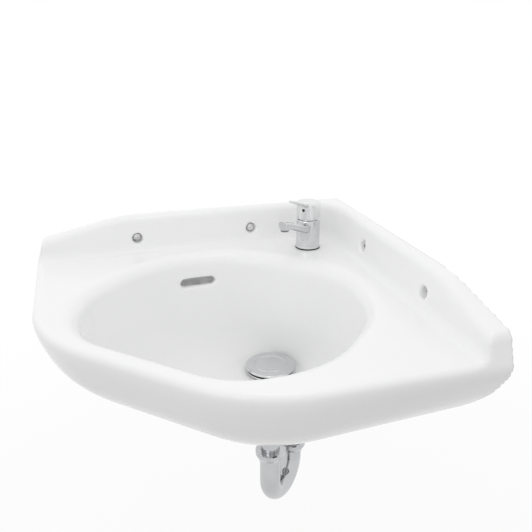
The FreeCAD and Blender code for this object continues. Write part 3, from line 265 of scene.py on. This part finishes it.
class EffectShelf:
    """Builds each shared effect once and hands out its node group."""

    noise_middle: Span = (0.35, 0.65)
    product_middle: Span = (0.15, 0.38)
    facing_up: Span = (0.2, 1.0)
    wipe_stretch: Point = (1.0, 9.0, 3.0)
    grain_detail: float = 2.0
    wipe_detail: float = 2.0
    tone_detail: float = 3.0
    patch_detail: float = 4.0
    ring_detail: float = 1.0
    dust_detail: float = 5.0

    def __init__(self) -> None:
        """Start with an empty shelf."""
        self.trees: dict[Effect, bpy.types.NodeTree] = {}

    def _open(self, effect: Effect, output: str, kind: Socket = Socket.VALUE,
              **inputs: Colour | float) -> EffectTree:
        """Start an effect's group and put it on the shelf.

        Args:
            effect: The effect.
            output: The name of its output.
            kind: The kind of its output.
            inputs: Starting values of its inputs, by name.

        Returns:
            The group.
        """
        group = EffectTree(effect, output, kind, **inputs)
        self.trees[effect] = group.tree
        return group

    def grain(self) -> None:
        """Height of a fine, even grain."""
        group = self._open(Effect.GRAIN, "Height", Scale=800.0)
        group.give(group.patches(self.grain_detail))

    def tone(self) -> None:
        """Colour that drifts slowly between two tones."""
        group = self._open(Effect.TONE, "Color", Socket.COLOUR,
                           Scale=9.0, Low=(0.8, 0.8, 0.8), High=(0.9, 0.9, 0.9))
        share = group.spread(group.patches(self.tone_detail), self.noise_middle)
        group.give(group.mix(Blend.COLOUR, share, group.read("Low"), group.read("High")))

    def polish(self) -> None:
        """Roughness between two values, in soft patches crossed by fine wipes."""
        group = self._open(Effect.POLISH, "Roughness", Scale=40.0, Smooth=0.05, Rough=0.15)
        stretch = group.add("Mapping")
        stretch.inputs["Scale"].default_value = self.wipe_stretch
        group.join(group.read("Vector"), stretch.inputs["Vector"])
        wipes = group.noise(stretch.outputs["Vector"], group.read("Scale"), self.wipe_detail)
        both = group.maths("MULTIPLY", group.patches(self.patch_detail), wipes)
        ends = (group.read("Smooth"), group.read("Rough"))
        group.give(group.spread(both, self.product_middle, ends))

    def turned(self) -> None:
        """Height of level rings, as a lathe or a thread leaves them on an upright part."""
        group = self._open(Effect.TURNED, "Height", Scale=600.0, Waver=0.3)
        wave = group.add("TexWave", wave_type="BANDS", bands_direction="Z")
        group.join(group.read("Vector"), wave.inputs["Vector"])
        group.join(group.read("Scale"), wave.inputs["Scale"])
        group.join(group.read("Waver"), wave.inputs["Distortion"])
        group.join(self.ring_detail, wave.inputs["Detail"])
        group.give(wave.outputs["Fac"])

    def dust(self) -> None:
        """Mask of the patchy dust that settles on what faces up."""
        group = self._open(Effect.DUST, "Mask", Scale=60.0, Amount=0.3)
        upward = group.split(group.add("NewGeometry").outputs["Normal"])[2]
        lying = group.spread(upward, self.facing_up)
        patchy = group.maths("MULTIPLY", lying, group.patches(self.dust_detail))
        group.give(group.maths("MULTIPLY", patchy, group.read("Amount")))

    def wall_side(self) -> None:
        """Mask of the two flat sides that stand against the walls."""
        group = self._open(Effect.WALL_SIDE, "Mask", Reach=0.0012)
        across, back, _ = group.split(group.read("Vector"))
        nearest = group.maths("MAXIMUM", across, back)
        edge = group.maths("MULTIPLY", group.read("Reach"), -1.0)
        group.give(group.maths("GREATER_THAN", nearest, edge))

    def tree(self, effect: Effect) -> bpy.types.NodeTree:
        """Hand out an effect's group, built on first use.

        Args:
            effect: The effect.

        Returns:
            Its node tree.
        """
        if effect not in self.trees:
            makers = {
                Effect.GRAIN: self.grain,
                Effect.TONE: self.tone,
                Effect.POLISH: self.polish,
                Effect.TURNED: self.turned,
                Effect.DUST: self.dust,
                Effect.WALL_SIDE: self.wall_side,
            }
            makers[effect]()
        return self.trees[effect]


SHELF = EffectShelf()


# ---------------------------------------------------------------- finishes
@dataclass(frozen=True)
class Relief:
    """A layer of fine relief: its scale, its depth in metres and the share that shows."""

    scale: float
    depth: float
    share: float


class FinishBench(Wiring):
    """One material being put together around a Principled shader."""

    def __init__(self, name: str) -> None:
        """Start a material.

        Args:
            name: The material's name.
        """
        self.material = bpy.data.materials.new(name)
        self.material.use_nodes = True
        super().__init__(self.material.node_tree)
        self.shader = self.tree.nodes["Principled BSDF"]
        self.place = self.add("TexCoord").outputs["Object"]

    def effect(self, effect: Effect, **values: Colour | float) -> bpy.types.NodeSocket:
        """Place a shared effect with this finish's own values.

        Args:
            effect: The effect to place.
            values: Values of its inputs, by name.

        Returns:
            The effect's output.
        """
        node = self.add("Group", node_tree=SHELF.tree(effect))
        self.join(self.place, node.inputs["Vector"])
        for name, value in values.items():
            self.join(value, node.inputs[name])
        return node.outputs[0]

    def feed(self, **given: Given) -> None:
        """Feed the shader's own sockets.

        Args:
            given: What goes into each, by its name with underscores for spaces.
        """
        for name, value in given.items():
            self.join(value, self.shader.inputs[name.replace("_", " ")])

    def bump(self, height: bpy.types.NodeSocket, relief: Relief) -> None:
        """Raise the surface by a height map, on top of what is raised already.

        Args:
            height: Socket with the height, 0 to 1.
            relief: The depth of the relief and the share that shows.
        """
        node = self.add("Bump")
        normal = self.shader.inputs["Normal"]
        self.join(relief.depth, node.inputs["Distance"])
        self.join(relief.share, node.inputs["Strength"])
        self.join(height, node.inputs["Height"])
        if normal.is_linked:
            self.join(normal.links[0].from_socket, node.inputs["Normal"])
        self.join(node.outputs["Normal"], normal)

    def grain(self, relief: Relief) -> None:
        """Raise the surface by a fine grain."""
        self.bump(self.effect(Effect.GRAIN, Scale=relief.scale), relief)


@dataclass(frozen=True)
class GlazeFinish:
    """White sanitary glaze over fired clay, left bare on the sides that meet the walls."""

    low: Colour = (0.905, 0.907, 0.907)
    high: Colour = (0.922, 0.924, 0.922)
    drift: float = 5.0
    clay_low: Colour = (0.60, 0.57, 0.52)
    clay_high: Colour = (0.70, 0.67, 0.62)
    clay_drift: float = 60.0
    clay_rough: float = 0.85
    smooth: float = 0.16
    rough: float = 0.24
    patches: float = 14.0
    coat: float = 0.2
    coat_rough: float = 0.035
    ior: float = 1.5
    specular: float = 0.25
    ripple: Relief = Relief(70.0, 0.00004, 0.6)
    pores: Relief = Relief(2200.0, 0.00001, 0.25)

    def material(self) -> bpy.types.Material:
        """Build the glaze.

        Returns:
            The material.
        """
        bench = FinishBench("white glaze")
        bare = bench.effect(Effect.WALL_SIDE)
        tone = bench.effect(Effect.TONE, Scale=self.drift, Low=self.low, High=self.high)
        clay = bench.effect(Effect.TONE, Scale=self.clay_drift,
                            Low=self.clay_low, High=self.clay_high)
        sheen = bench.effect(Effect.POLISH, Scale=self.patches,
                             Smooth=self.smooth, Rough=self.rough)
        bench.feed(Base_Color=bench.mix(Blend.COLOUR, bare, tone, clay),
                   Roughness=bench.mix(Blend.VALUE, bare, sheen, self.clay_rough),
                   Coat_Weight=bench.mix(Blend.VALUE, bare, self.coat, 0.0),
                   Coat_Roughness=self.coat_rough, IOR=self.ior,
                   Specular_IOR_Level=self.specular)
        bench.grain(self.ripple)
        bench.grain(self.pores)
        return bench.material


@dataclass(frozen=True)
class PlatedFinish:
    """Bright chrome plating on brass castings and pipes, also used in a lighter and a darker
    copy that carry painted light and painted shade.
    """

    name: str = "bright chrome"
    low: Colour = (0.66, 0.665, 0.675)
    high: Colour = (0.72, 0.725, 0.735)
    smooth: float = 0.04
    rough: float = 0.12
    drift: float = 25.0
    patches: float = 60.0
    relief: Relief = Relief(260.0, 0.00002, 0.35)

    def material(self) -> bpy.types.Material:
        """Build the plating.

        Returns:
            The material.
        """
        bench = FinishBench(self.name)
        bench.feed(Base_Color=bench.effect(Effect.TONE, Scale=self.drift,
                                           Low=self.low, High=self.high),
                   Roughness=bench.effect(Effect.POLISH, Scale=self.patches,
                                          Smooth=self.smooth, Rough=self.rough),
                   Metallic=1.0)
        bench.grain(self.relief)
        return bench.material


@dataclass(frozen=True)
class TurnedFinish:
    """Metal as it leaves the lathe, with fine rings, dull patches and a little dust."""

    name: str
    low: Colour
    high: Colour
    smooth: float = 0.22
    rough: float = 0.42
    drift: float = 120.0
    patches: float = 150.0
    dust: float = 0.12
    dust_scale: float = 140.0
    dust_tone: Colour = (0.55, 0.53, 0.50)
    rings: Relief = Relief(1400.0, 0.00004, 0.5)
    waver: float = 0.6

    def material(self) -> bpy.types.Material:
        """Build the turned metal.

        Returns:
            The material.
        """
        bench = FinishBench(self.name)
        tone = bench.effect(Effect.TONE, Scale=self.drift, Low=self.low, High=self.high)
        dust = bench.effect(Effect.DUST, Scale=self.dust_scale, Amount=self.dust)
        bench.feed(Base_Color=bench.mix(Blend.COLOUR, dust, tone, self.dust_tone),
                   Roughness=bench.effect(Effect.POLISH, Scale=self.patches,
                                          Smooth=self.smooth, Rough=self.rough),
                   Metallic=1.0)
        lines = bench.effect(Effect.TURNED, Scale=self.rings.scale, Waver=self.waver)
        bench.bump(lines, self.rings)
        return bench.material


@dataclass(frozen=True)
class MouldedFinish:
    """Moulded rubber or plastic with a fine grain and a little dust."""

    name: str
    low: Colour
    high: Colour
    smooth: float = 0.4
    rough: float = 0.6
    drift: float = 90.0
    patches: float = 110.0
    dust: float = 0.10
    dust_scale: float = 200.0
    dust_tone: Colour = (0.45, 0.44, 0.42)
    relief: Relief = Relief(1500.0, 0.00006, 0.5)

    def material(self) -> bpy.types.Material:
        """Build the moulded surface.

        Returns:
            The material.
        """
        bench = FinishBench(self.name)
        tone = bench.effect(Effect.TONE, Scale=self.drift, Low=self.low, High=self.high)
        dust = bench.effect(Effect.DUST, Scale=self.dust_scale, Amount=self.dust)
        bench.feed(Base_Color=bench.mix(Blend.COLOUR, dust, tone, self.dust_tone),
                   Roughness=bench.effect(Effect.POLISH, Scale=self.patches,
                                          Smooth=self.smooth, Rough=self.rough))
        bench.grain(self.relief)
        return bench.material


class Finish(Enum):
    """Every finish on the basin and its fittings."""

    GLAZE = GlazeFinish()
    CHROME = PlatedFinish()
    # Lighter copy of the same chrome plating, for the lever head: painted light, standing in for
    # the bright reflections on its front.
    CHROME_PAINTED_LIT = PlatedFinish("chrome painted lighter", (0.76, 0.765, 0.77), (0.82, 0.825, 0.83), 0.03, 0.09)
    # Darker copy of the same chrome plating, for the trap under the basin: painted shade.
    CHROME_PAINTED_SHADE = PlatedFinish("chrome painted in shade", (0.50, 0.505, 0.515), (0.56, 0.565, 0.575), 0.07, 0.16)
    SCREW = TurnedFinish("bright screws", (0.66, 0.66, 0.67), (0.80, 0.80, 0.81), 0.14, 0.30)
    STEEL = TurnedFinish("zinc steel", (0.42, 0.42, 0.43), (0.55, 0.55, 0.56))
    BRASS = TurnedFinish("turned brass", (0.56, 0.40, 0.16), (0.68, 0.52, 0.25))
    RUBBER = MouldedFinish("black rubber", (0.018, 0.018, 0.019), (0.035, 0.035, 0.036))
    WHITE = MouldedFinish("white plastic", (0.62, 0.62, 0.61), (0.70, 0.70, 0.69), 0.28, 0.42)
    GREY = MouldedFinish("grey plastic", (0.16, 0.16, 0.165), (0.23, 0.23, 0.235), 0.3, 0.5)
    DARK = MouldedFinish("dark plastic", (0.02, 0.02, 0.022), (0.045, 0.045, 0.048), 0.3, 0.5)

    def material(self) -> bpy.types.Material:
        """Hand out the finish's material, built on first use.

        Returns:
            The material.
        """
        if self not in BUILT:
            BUILT[self] = self.value.material()
        return BUILT[self]


BUILT: dict[Finish, bpy.types.Material] = {}


# ---------------------------------------------------------------- making pieces
def dress(piece: bpy.types.Object, finish: Finish) -> None:
    """Give a piece one finish all over.

    Args:
        piece: The mesh object.
        finish: The finish that it takes.
    """
    piece.data.materials.clear()
    piece.data.materials.append(finish.material())
    log.info("%s: %s", piece.name, finish.material().name)


def dress_nodes(names: tuple[str, ...], finish: Finish) -> None:
    """Give CAD nodes a finish.

    Args:
        names: The nodes' names.
        finish: The finish that they take.
    """
    for name in names:
        dress(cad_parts[name], finish)


def link(name: str, mesh: bpy.types.Mesh) -> bpy.types.Object:
    """Put a mesh into the scene.

    Args:
        name: The name of its object.
        mesh: The mesh.

    Returns:
        The new object.
    """
    piece = bpy.data.objects.new(name, mesh)
    bpy.context.scene.collection.objects.link(piece)
    return piece


@dataclass
class SoftCasting:
    """A cast piece whose edges are rounded by its glaze or its polishing."""

    node: str
    name: str
    body: str
    slot: str
    finish: Finish
    voxel: float
    passes: int
    strength: float = 0.5

    def build(self) -> None:
        """Make the rounded casting in place of its CAD node."""
        piece = link(self.name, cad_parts[self.node].data.copy())
        even = piece.modifiers.new("even", "REMESH")
        even.mode = "VOXEL"
        even.voxel_size = self.voxel
        even.use_smooth_shade = True
        soft = piece.modifiers.new("soft", "SMOOTH")
        soft.factor = self.strength
        soft.iterations = self.passes
        self.settle(piece)
        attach(piece, self.body)
        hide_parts(self.node)
        dress(piece, self.finish)

    def settle(self, piece: bpy.types.Object) -> None:
        """Apply the modifiers and keep the result inside the CAD node's box.

        Args:
            piece: The casting.
        """
        shapes = bpy.context.evaluated_depsgraph_get()
        mesh = bpy.data.meshes.new_from_object(piece.evaluated_get(shapes))
        piece.modifiers.clear()
        piece.data = mesh
        low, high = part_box(self.node)
        for vertex in mesh.vertices:
            vertex.co = Vector(min(max(c, a), b) for c, a, b in zip(vertex.co, low, high))
        mesh.shade_smooth()


@dataclass
class Coil:
    """A compression spring of round wire, with a closed turn at each end."""

    node: str = "plug_spring"
    name: str = "plug_coil"
    wire: float = 0.00055
    turns: int = 8
    steps: int = 28
    sides: int = 8
    closed_pitch: float = 0.3
    shortened: float = 0.93

    def height_share(self, share: float) -> float:
        """Find how high up the coil a point of its wire is.

        Args:
            share: How far along the wire the point is, 0 to 1.

        Returns:
            Its height, 0 to 1.
        """
        closed = 1.0 / self.turns
        if share < closed:
            return share * self.closed_pitch
        if share > 1 - closed:
            return 1 - (1 - share) * self.closed_pitch
        rise = 1 - 2 * self.closed_pitch * closed
        return self.closed_pitch * closed + (share - closed) / (1 - 2 * closed) * rise

    def mesh(self, low: Vector, high: Vector) -> bpy.types.Mesh:
        """Wind the wire.

        Args:
            low: Low corner of the box that the coil fills.
            high: High corner of that box.

        Returns:
            The coil's mesh.
        """
        middle = (low + high) / 2
        radius = (high.x - low.x) / 2 - self.wire
        foot, top = low.z + self.wire, high.z - self.wire
        shape = bmesh.new()
        rings = []
        count = self.turns * self.steps
        for i in range(count + 1):
            share = i / count
            angle = 2 * math.pi * self.turns * share
            outward = Vector((math.cos(angle), math.sin(angle), 0))
            centre = Vector((middle.x, middle.y, foot + (top - foot) * self.height_share(share)))
            centre += outward * radius
            ring = []
            for k in range(self.sides):
                turn = 2 * math.pi * k / self.sides
                offset = outward * math.cos(turn) + Vector((0, 0, 1)) * math.sin(turn)
                ring.append(shape.verts.new(centre + offset * self.wire))
            rings.append(ring)
        for ring, following in zip(rings, rings[1:]):
            for k in range(self.sides):
                after = (k + 1) % self.sides
                shape.faces.new((ring[k], following[k], following[after], ring[after]))
        shape.faces.new(rings[0])
        shape.faces.new(list(reversed(rings[-1])))
        bmesh.ops.recalc_face_normals(shape, faces=shape.faces)
        mesh = bpy.data.meshes.new(self.name)
        shape.to_mesh(mesh)
        shape.free()
        mesh.shade_smooth()
        return mesh

    def build(self) -> None:
        """Make the spring in place of its CAD sleeve."""
        low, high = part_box(self.node)
        piece = link(self.name, self.mesh(low, high))
        dress(piece, Finish.STEEL)
        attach(piece, "basin")
        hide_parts(self.node)
        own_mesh(piece)


# ---------------------------------------------------------------- sub-assemblies
@dataclass
class Basin:
    """The ceramic with its wall screws."""

    voxel: float = 0.0024
    passes: int = 4

    def build(self) -> None:
        """Make the ceramic and dress its fixings."""
        SoftCasting("ceramic_basin", "glazed_ceramic", "basin", "glaze", Finish.GLAZE,
                    self.voxel, self.passes).build()
        dress_nodes(("wall_screws",), Finish.SCREW)
        dress_nodes(("wall_bushes",), Finish.WHITE)


@dataclass
class Tap:
    """The single-lever tap, from its lever to the clamp under the deck."""

    voxel: float = 0.00045
    passes: int = 3

    def build(self) -> None:
        """Make the two polished castings and dress the rest."""
        SoftCasting("tap_body", "tap_casting", "basin", "chrome", Finish.CHROME,
                    self.voxel, self.passes).build()
        # The lever head takes the lighter chrome copy, which is painted light.
        SoftCasting("lever_head", "lever_casting", "lever", "chrome", Finish.CHROME_PAINTED_LIT,
                    self.voxel, self.passes).build()
        dress_nodes(("cartridge_nut",), Finish.CHROME)
        dress_nodes(("lever_spindle", "spindle_pin", "lever_screw", "tap_stud", "clamp_plate"),
                    Finish.STEEL)
        dress_nodes(("tap_base_ring", "clamp_gasket"), Finish.RUBBER)
        dress_nodes(("tap_cartridge", "spindle_carrier"), Finish.WHITE)
        dress_nodes(("lever_screw_plug",), Finish.DARK)
        dress_nodes(("aerator",), Finish.GREY)
        dress_nodes(("clamp_nut",), Finish.BRASS)


@dataclass
class Waste:
    """The click waste with its plug."""

    def build(self) -> None:
        """Make the coil and dress the rest."""
        Coil().build()
        dress_nodes(("plug_cap", "waste_flange"), Finish.CHROME)
        dress_nodes(("plug_stem", "waste_nut"), Finish.BRASS)
        dress_nodes(("plug_seal", "waste_gasket_top", "waste_gasket_low"), Finish.RUBBER)
        dress_nodes(("waste_washer",), Finish.DARK)


@dataclass
class Trap:
    """Tailpiece, bend and outlet into the wall."""

    def build(self) -> None:
        """Dress pipes, nuts and seals."""
        # The pipes and nuts take the darker chrome copy, which is painted shade from the basin
        # above.
        dress_nodes(("tailpiece", "tail_nut", "trap_bend", "trap_nut_inlet", "trap_nut_outlet",
                     "outlet_arm", "wall_rose"), Finish.CHROME_PAINTED_SHADE)
        dress_nodes(("tail_seal", "trap_seal_inlet", "trap_seal_outlet"), Finish.RUBBER)


# ---------------------------------------------------------------- studio
@dataclass(frozen=True)
class Lamp:
    """One soft lamp."""

    name: str
    place: Point
    wide: float
    tall: float
    watts: float

    def build(self, target: Vector) -> None:
        """Hang the lamp.

        Args:
            target: Point that it is aimed at.
        """
        data = bpy.data.lights.new(self.name, "AREA")
        data.shape = "RECTANGLE"
        data.size = self.wide
        data.size_y = self.tall
        data.energy = self.watts
        lamp = bpy.data.objects.new(self.name, data)
        lamp.location = self.place
        lamp.rotation_euler = (target - Vector(self.place)).to_track_quat("-Z", "Y").to_euler()
        bpy.context.scene.collection.objects.link(lamp)


@dataclass
class Studio:
    """Floor, light and camera."""

    floor_level: float = -0.85
    floor_side: float = 30.0
    floor_bounce: float = 0.55
    floor_tone: float = 0.9
    fade_reach: Span = (0.8, 1.8)
    fade_share: Span = (0.75, 1.0)
    sky_slope: Span = (-0.08, 0.12)
    sky_light: Span = (0.81, 0.92)
    depth_slope: Span = (-0.7, 0.7)
    depth_share: Span = (0.90, 1.08)
    lamps: tuple[Lamp, ...] = (Lamp("key", (-1.3, -1.2, 0.8), 0.9, 0.7, 2.4),
                               Lamp("top", (-0.1, -0.1, 1.5), 0.5, 0.5, 1.2))
    target: Point = (-0.22, -0.22, -0.1)
    camera_place: Point = (-0.3797, -0.8876, 0.24875)
    camera_down: float = 20.68
    camera_right: float = 16.64
    lens: float = 42.73
    sensor: float = 36.0

    def floor(self) -> None:
        """Lay the plain floor as far down as it is below a basin on its wall."""
        half = self.floor_side / 2
        mesh = bpy.data.meshes.new("floor")
        corners = [(-half, -half), (half, -half), (half, half), (-half, half)]
        mesh.from_pydata([(x, y, self.floor_level) for x, y in corners], [], [(0, 1, 2, 3)])
        plane = link("floor", mesh)
        plane.data.materials.append(self.floor_material())

    def seen(self, wiring: Wiring) -> bpy.types.NodeSocket:
        """Tell the rays that end in the camera, a mirror or glass from the others.

        Args:
            wiring: The tree that needs it.

        Returns:
            A value of 1 for those rays and 0 for the others.
        """
        path = wiring.add("LightPath")
        total = path.outputs["Is Camera Ray"]
        for name in ("Is Glossy Ray", "Is Transmission Ray"):
            total = wiring.maths("MAXIMUM", total, path.outputs[name])
        return total

    def floor_material(self) -> bpy.types.Material:
        """Paint a pale floor that keeps shadows near the basin and runs out into white.

        Returns:
            The material.
        """
        material = bpy.data.materials.new("pale floor")
        material.use_nodes = True
        wiring = Wiring(material.node_tree)
        wiring.tree.nodes.clear()
        paint = wiring.add("BsdfDiffuse")
        tint = wiring.spread(self.seen(wiring), gives=(self.floor_bounce, self.floor_tone))
        wiring.join(tint, paint.inputs["Color"])
        distance = wiring.add("VectorMath", operation="LENGTH")
        wiring.join(wiring.add("TexCoord").outputs["Object"], distance.inputs[0])
        fade = wiring.spread(distance.outputs["Value"], self.fade_reach, self.fade_share)
        share = wiring.maths("MULTIPLY", fade, self.seen(wiring))
        white = wiring.add("Emission").outputs["Emission"]
        surface = wiring.mix_shaders(share, paint.outputs["BSDF"], white)
        wiring.join(surface, wiring.add("OutputMaterial").inputs["Surface"])
        return material

    def sky(self) -> None:
        """Light evenly, less from the front and from below, behind a white background."""
        world = bpy.data.worlds.new("studio")
        bpy.context.scene.world = world
        world.use_nodes = True
        wiring = Wiring(world.node_tree)
        wiring.tree.nodes.clear()
        _, back, up = wiring.split(wiring.add("TexCoord").outputs["Generated"])
        level = wiring.maths("MULTIPLY", wiring.spread(up, self.sky_slope, self.sky_light),
                             wiring.spread(back, self.depth_slope, self.depth_share))
        light = wiring.add("Background")
        wiring.join(level, light.inputs["Color"])
        white = wiring.add("Background")
        wiring.join((1.0, 1.0, 1.0), white.inputs["Color"])
        surface = wiring.mix_shaders(self.seen(wiring), light.outputs["Background"],
                                     white.outputs["Background"])
        wiring.join(surface, wiring.add("OutputWorld").inputs["Surface"])

    def camera(self) -> None:
        """Stand the camera where the photo was taken from."""
        data = bpy.data.cameras.new("camera")
        data.lens = self.lens
        data.sensor_width = self.sensor
        view = bpy.data.objects.new("camera", data)
        view.location = self.camera_place
        view.rotation_euler = (math.radians(90 - self.camera_down), 0.0,
                               math.radians(-self.camera_right))
        bpy.context.scene.collection.objects.link(view)
        bpy.context.scene.camera = view

    def build(self) -> None:
        """Set up the whole studio."""
        self.floor()
        self.sky()
        for lamp in self.lamps:
            lamp.build(Vector(self.target))
        self.camera()
        bpy.context.scene.view_settings.view_transform = "Standard"


def main() -> None:
    """Build the sub-assemblies in order, then the studio."""
    logging.basicConfig(level=logging.INFO, format="%(name)s %(message)s")
    for part in (Basin(), Tap(), Waste(), Trap(), Studio()):
        log.info("building %s", type(part).__name__)
        part.build()


if __name__ == "__main__":
    main()
